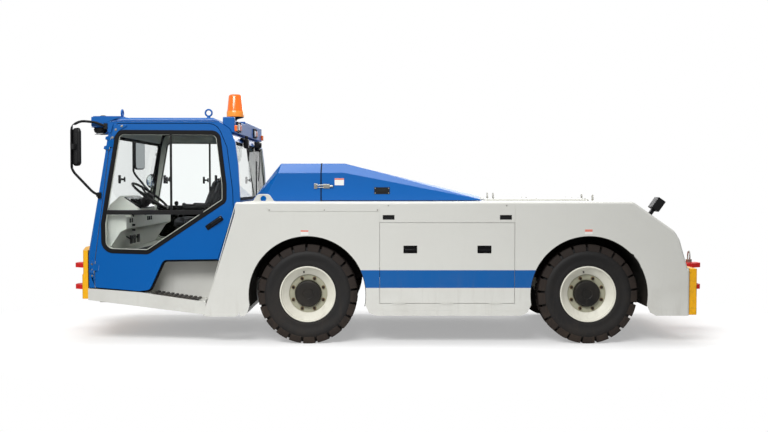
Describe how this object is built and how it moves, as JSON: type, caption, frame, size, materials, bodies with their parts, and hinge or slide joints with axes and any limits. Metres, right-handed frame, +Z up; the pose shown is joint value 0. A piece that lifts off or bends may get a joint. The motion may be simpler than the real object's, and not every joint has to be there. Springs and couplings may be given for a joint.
{
  "type": "aircraft pushback tractor, four-wheel, conventional towbar type",
  "caption": "White and blue aircraft pushback tractor with a forward cab, flat rear deck, yellow bumpers and towbar hitches at both ends.",
  "frame": {"origin": "on the ground under the middle of its length and width", "axes": "-X is forwards, towards the cab; +Y is its right side; +Z is up"},
  "size_m": [7.21, 2.66, 2.6273],
  "materials": {
    "blue_paint": "gloss paint",
    "white_paint": "gloss paint",
    "yellow_paint": "semi-gloss paint",
    "red_paint": "semi-gloss paint",
    "rim_paint": "gloss paint",
    "black_steel": "satin paint",
    "bare_steel": "zinc plated",
    "tyre": "matt solid rubber",
    "black_plastic": "grained",
    "grey_plastic": "fine grain",
    "glass": "clear",
    "amber_lens": "ribbed clear plastic",
    "seat_fabric": "woven"
  },
  "bodies": {
    "chassis": {"chassis_frame": "black_steel", "front_axle": "black_steel", "rear_axle": "black_steel", "engine_block": "black_steel", "front_ballast": "black_steel", "rear_ballast": "black_steel", "side_panel_left": "white_paint", "side_panel_right": "white_paint", "deck": "white_paint", "tail_panel": "white_paint", "rear_hatch": "white_paint", "hood_front": "blue_paint", "front_bumper": "yellow_paint", "front_hitch": "red_paint", "front_tow_pin": "bare_steel", "rear_bumper": "yellow_paint", "rear_hitch": "red_paint", "rear_tow_pin": "bare_steel", "cab_base": "white_paint", "cab_frame": "blue_paint", "cab_roof": "blue_paint", "windscreen": "glass", "rear_window": "glass", "dashboard": "grey_plastic", "steering_column": "black_plastic", "seat_base": "black_plastic", "seat_cushion": "seat_fabric", "seat_back": "seat_fabric", "mirror_left": "black_plastic", "mirror_right": "black_plastic", "roof_front_carrier": "blue_paint", "rear_lamp_carrier": "blue_paint", "beacon": "amber_lens", "rear_work_lamp": "black_plastic"},
    "knuckle_left": {"knuckle_left": "black_steel"},
    "knuckle_right": {"knuckle_right": "black_steel"},
    "wheel_front_left": {"tyre_front_left": "tyre", "rim_front_left": "rim_paint"},
    "wheel_front_right": {"tyre_front_right": "tyre", "rim_front_right": "rim_paint"},
    "wheel_rear_left": {"tyre_rear_left": "tyre", "rim_rear_left": "rim_paint"},
    "wheel_rear_right": {"tyre_rear_right": "tyre", "rim_rear_right": "rim_paint"},
    "door_left": {"door_left": "blue_paint", "door_left_glass": "glass"},
    "door_right": {"door_right": "blue_paint", "door_right_glass": "glass"},
    "hood_rear": {"hood_rear": "blue_paint"},
    "locker_door_left": {"locker_door_left": "white_paint"},
    "locker_door_right": {"locker_door_right": "white_paint"},
    "steering_wheel": {"steering_wheel": "black_plastic"}
  },
  "joints": [
    {"name": "steer_left", "type": "hinge", "parent": "chassis", "child": "knuckle_left", "pos_m": [-0.838, -0.88, 0.51802], "axis": [0, 0, 1], "range_deg": [-28, 28]},
    {"name": "steer_right", "type": "hinge", "parent": "chassis", "child": "knuckle_right", "pos_m": [-0.838, 0.88, 0.51802], "axis": [0, 0, 1], "range_deg": [-28, 28]},
    {"name": "roll_front_left", "type": "hinge", "parent": "knuckle_left", "child": "wheel_front_left", "pos_m": [-0.838, -1.03, 0.51802], "axis": [0, 1, 0], "continuous": true},
    {"name": "roll_front_right", "type": "hinge", "parent": "knuckle_right", "child": "wheel_front_right", "pos_m": [-0.838, 1.03, 0.51802], "axis": [0, 1, 0], "continuous": true},
    {"name": "roll_rear_left", "type": "hinge", "parent": "chassis", "child": "wheel_rear_left", "pos_m": [2.076, -1.03, 0.51802], "axis": [0, 1, 0], "continuous": true},
    {"name": "roll_rear_right", "type": "hinge", "parent": "chassis", "child": "wheel_rear_right", "pos_m": [2.076, 1.03, 0.51802], "axis": [0, 1, 0], "continuous": true},
    {"name": "door_left_hinge", "type": "hinge", "parent": "chassis", "child": "door_left", "pos_m": [-3.0565, -1.135, 0.85], "axis": [-0.1348, 0, -0.9909], "range_deg": [0, 70]},
    {"name": "door_right_hinge", "type": "hinge", "parent": "chassis", "child": "door_right", "pos_m": [-3.0565, 1.135, 0.85], "axis": [0.1348, 0, 0.9909], "range_deg": [0, 70]},
    {"name": "hood_hinge", "type": "hinge", "parent": "chassis", "child": "hood_rear", "pos_m": [1.001, 0, 1.496], "axis": [0, 1, 0], "range_deg": [0, 55]},
    {"name": "locker_left_hinge", "type": "hinge", "parent": "chassis", "child": "locker_door_left", "pos_m": [0.608, -1.2065, 0.4295], "axis": [1, 0, 0], "range_deg": [0, 90]},
    {"name": "locker_right_hinge", "type": "hinge", "parent": "chassis", "child": "locker_door_right", "pos_m": [0.608, 1.2065, 0.4295], "axis": [-1, 0, 0], "range_deg": [0, 90]},
    {"name": "steering_wheel_turn", "type": "hinge", "parent": "chassis", "child": "steering_wheel", "pos_m": [-2.627, -0.5, 1.534], "axis": [0.5962, 0, 0.8028], "range_deg": [-336, 336]}
  ],
  "couplings": [
    {"joint": "steer_right", "follows": "steer_left", "ratio": 1},
    {"joint": "steering_wheel_turn", "follows": "steer_left", "ratio": 12}
  ]
}
